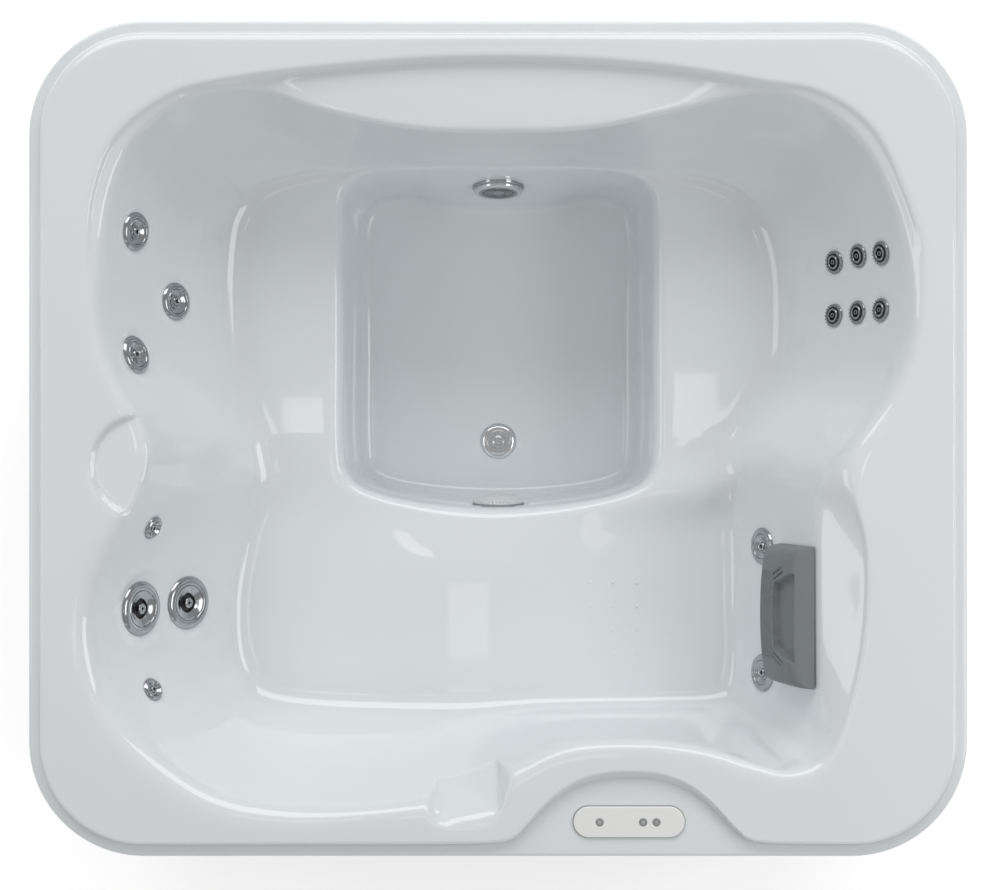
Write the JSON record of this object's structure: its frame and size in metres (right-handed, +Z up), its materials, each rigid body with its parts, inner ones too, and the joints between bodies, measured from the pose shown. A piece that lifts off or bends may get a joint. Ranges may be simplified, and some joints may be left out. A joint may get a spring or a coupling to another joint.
{
  "type": "hot tub",
  "caption": "Acrylic hot tub with footwell, two seats and a lounger, water jets, foam pillow, pressed controls, cabinet and the pump, heater and filter below.",
  "frame": {"origin": "on the floor under the middle of the tub", "axes": "+Z up, -Y to the side with the control panel, X along the length, the pillow end at +X"},
  "size_m": [1.91, 1.7001, 0.76],
  "materials": {
    "acrylic": "glossy",
    "cabinet_plastic": "matte",
    "chrome": "polished",
    "clear_plastic": "clear",
    "dark_plastic": "satin",
    "filter_paper": "matte",
    "grey_plastic": "satin",
    "pillow_foam": "matte",
    "steel": "brushed",
    "white_plastic": "satin"
  },
  "bodies": {
    "tub": {"base_pan": "cabinet_plastic", "control_box": "grey_plastic", "control_housing": "white_plastic", "corner_post_front_left": "cabinet_plastic", "corner_post_front_right": "cabinet_plastic", "corner_post_rear_left": "cabinet_plastic", "corner_post_rear_right": "cabinet_plastic", "drain_valve": "dark_plastic", "filter_canister": "dark_plastic", "filter_cartridge": "filter_paper", "floor_fitting": "chrome", "heater_tube": "steel", "jet_cluster_1": "chrome", "jet_cluster_2": "chrome", "jet_cluster_3": "chrome", "jet_cluster_4": "chrome", "jet_cluster_5": "chrome", "jet_cluster_6": "chrome", "jet_large_1_body": "chrome", "jet_large_2_body": "chrome", "jet_medium_1_body": "chrome", "jet_medium_2_body": "chrome", "jet_medium_3_body": "chrome", "jet_shoulder_1_body": "chrome", "jet_shoulder_2_body": "chrome", "jet_small_1": "chrome", "jet_small_2": "chrome", "light_housing": "grey_plastic", "light_lens": "clear_plastic", "panel_left": "cabinet_plastic", "panel_rear": "cabinet_plastic", "panel_right": "cabinet_plastic", "pressure_pipe": "grey_plastic", "pump_motor": "steel", "pump_wet_end": "dark_plastic", "rail_front": "steel", "rail_left": "steel", "rail_rear": "steel", "rail_right": "steel", "shell": "acrylic", "suction_body": "grey_plastic", "suction_grille": "chrome", "suction_pipe": "grey_plastic"},
    "button_1": {"button_1": "grey_plastic"},
    "button_2": {"button_2": "grey_plastic"},
    "button_3": {"button_3": "grey_plastic"},
    "jet_large_1_face": {"jet_large_1_face": "chrome"},
    "jet_large_1_nozzle": {"jet_large_1_nozzle": "dark_plastic"},
    "jet_large_2_face": {"jet_large_2_face": "chrome"},
    "jet_large_2_nozzle": {"jet_large_2_nozzle": "dark_plastic"},
    "jet_medium_1_face": {"jet_medium_1_face": "chrome"},
    "jet_medium_2_face": {"jet_medium_2_face": "chrome"},
    "jet_medium_3_face": {"jet_medium_3_face": "chrome"},
    "jet_shoulder_1_face": {"jet_shoulder_1_face": "chrome"},
    "jet_shoulder_2_face": {"jet_shoulder_2_face": "chrome"},
    "pump_rotor": {"pump_rotor": "steel"},
    "access_panel": {"panel_front": "cabinet_plastic"},
    "pillow": {"pillow": "pillow_foam"},
    "filter_lid": {"filter_lid": "dark_plastic"},
    "drain_cap": {"drain_cap": "dark_plastic"}
  },
  "joints": [
    {"name": "button_1_press", "type": "slide", "parent": "tub", "child": "button_1", "axis": [0, 0, -1], "range_m": [0, 0.0015], "stiffness_N_per_m": 400, "springref_m": -0.0005},
    {"name": "button_2_press", "type": "slide", "parent": "tub", "child": "button_2", "axis": [0, 0, -1], "range_m": [0, 0.0015], "stiffness_N_per_m": 400, "springref_m": -0.0005},
    {"name": "button_3_press", "type": "slide", "parent": "tub", "child": "button_3", "axis": [0, 0, -1], "range_m": [0, 0.0015], "stiffness_N_per_m": 400, "springref_m": -0.0005},
    {"name": "jet_large_1_turn", "type": "hinge", "parent": "tub", "child": "jet_large_1_face", "pos_m": [-0.75236, -0.35784, 0.60891], "axis": [0.864, -0.0033, 0.5035], "range_deg": [0, 120]},
    {"name": "jet_large_1_aim", "type": "hinge", "parent": "jet_large_1_face", "child": "jet_large_1_nozzle", "pos_m": [-0.75027, -0.35785, 0.61013], "axis": [0.0039, 1, 0], "range_deg": [-15, 15]},
    {"name": "jet_large_2_turn", "type": "hinge", "parent": "tub", "child": "jet_large_2_face", "pos_m": [-0.67484, -0.35612, 0.49262], "axis": [0.7846, -0.0133, 0.6198], "range_deg": [0, 120]},
    {"name": "jet_large_2_aim", "type": "hinge", "parent": "jet_large_2_face", "child": "jet_large_2_nozzle", "pos_m": [-0.67295, -0.35616, 0.49412], "axis": [0.0169, 0.9999, 0], "range_deg": [-15, 15]},
    {"name": "jet_medium_1_turn", "type": "hinge", "parent": "tub", "child": "jet_medium_1_face", "pos_m": [-0.75624, 0.43202, 0.64343], "axis": [0.8929, -0.1081, 0.437], "range_deg": [0, 120]},
    {"name": "jet_medium_2_turn", "type": "hinge", "parent": "tub", "child": "jet_medium_2_face", "pos_m": [-0.69596, 0.29663, 0.52174], "axis": [0.8357, 0.0099, 0.549], "range_deg": [0, 120]},
    {"name": "jet_medium_3_turn", "type": "hinge", "parent": "tub", "child": "jet_medium_3_face", "pos_m": [-0.75336, 0.17468, 0.65508], "axis": [0.8885, 0.212, 0.407], "range_deg": [0, 120]},
    {"name": "jet_shoulder_1_turn", "type": "hinge", "parent": "tub", "child": "jet_shoulder_1_face", "pos_m": [0.57863, -0.23455, 0.47254], "axis": [-0.9028, -0.0256, 0.4294], "range_deg": [0, 120]},
    {"name": "jet_shoulder_2_turn", "type": "hinge", "parent": "tub", "child": "jet_shoulder_2_face", "pos_m": [0.57957, -0.51094, 0.47065], "axis": [-0.8985, 0.0423, 0.4369], "range_deg": [0, 120]},
    {"name": "rotor_spin", "type": "hinge", "parent": "tub", "child": "pump_rotor", "pos_m": [0, -0.44999, 0.15], "axis": [1, 0, 0], "continuous": true},
    {"name": "access_panel_off", "type": "slide", "parent": "tub", "child": "access_panel", "axis": [0, -1, 0], "range_m": [0, 0.3]},
    {"name": "pillow_off", "type": "slide", "parent": "tub", "child": "pillow", "axis": [-0.9532, 0, 0.3024], "range_m": [0, 0.12]},
    {"name": "filter_lid_turn", "type": "hinge", "parent": "tub", "child": "filter_lid", "pos_m": [-0.2003, -0.44999, 0.0303], "axis": [0, 0, 1], "range_deg": [0, 90]},
    {"name": "drain_cap_turn", "type": "hinge", "parent": "tub", "child": "drain_cap", "pos_m": [-0.3, -0.7, 0.0523], "axis": [0, -1, 0], "range_deg": [0, 270]}
  ]
}
